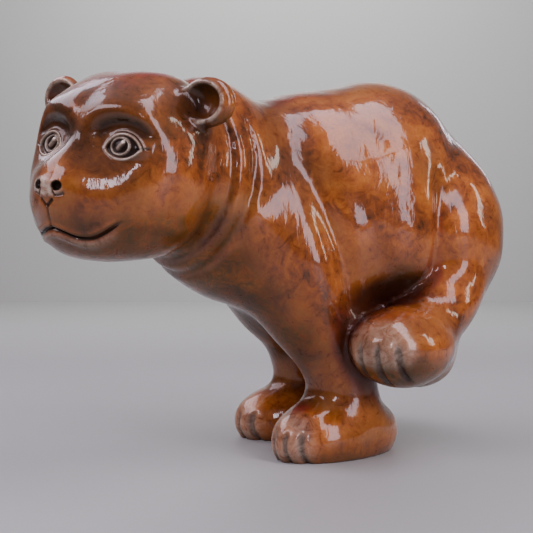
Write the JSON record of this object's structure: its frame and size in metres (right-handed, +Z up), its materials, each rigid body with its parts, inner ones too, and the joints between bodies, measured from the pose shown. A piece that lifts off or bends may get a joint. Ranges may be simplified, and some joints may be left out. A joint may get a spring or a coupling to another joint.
{
  "type": "bear sculpture",
  "caption": "Cast bronze bear cub balancing on its forepaws with its hind legs tucked up and its round head turned sideways, a decorative figure that stands on flat soles.",
  "frame": {"origin": "centre of the bear's outline seen from above, on the surface it stands on", "axes": "+Z up, -X the way the body faces, -Y the bear's left, to which its head is turned"},
  "size_m": [0.5259, 0.3006, 0.3813],
  "materials": {
    "bronze": "mottled brown patina on cast bronze under glossy wax, rubbed pale on nose, eye rims, ear rims and toes"
  },
  "bodies": {
    "root": {"bear": "bronze"}
  },
  "joints": []
}
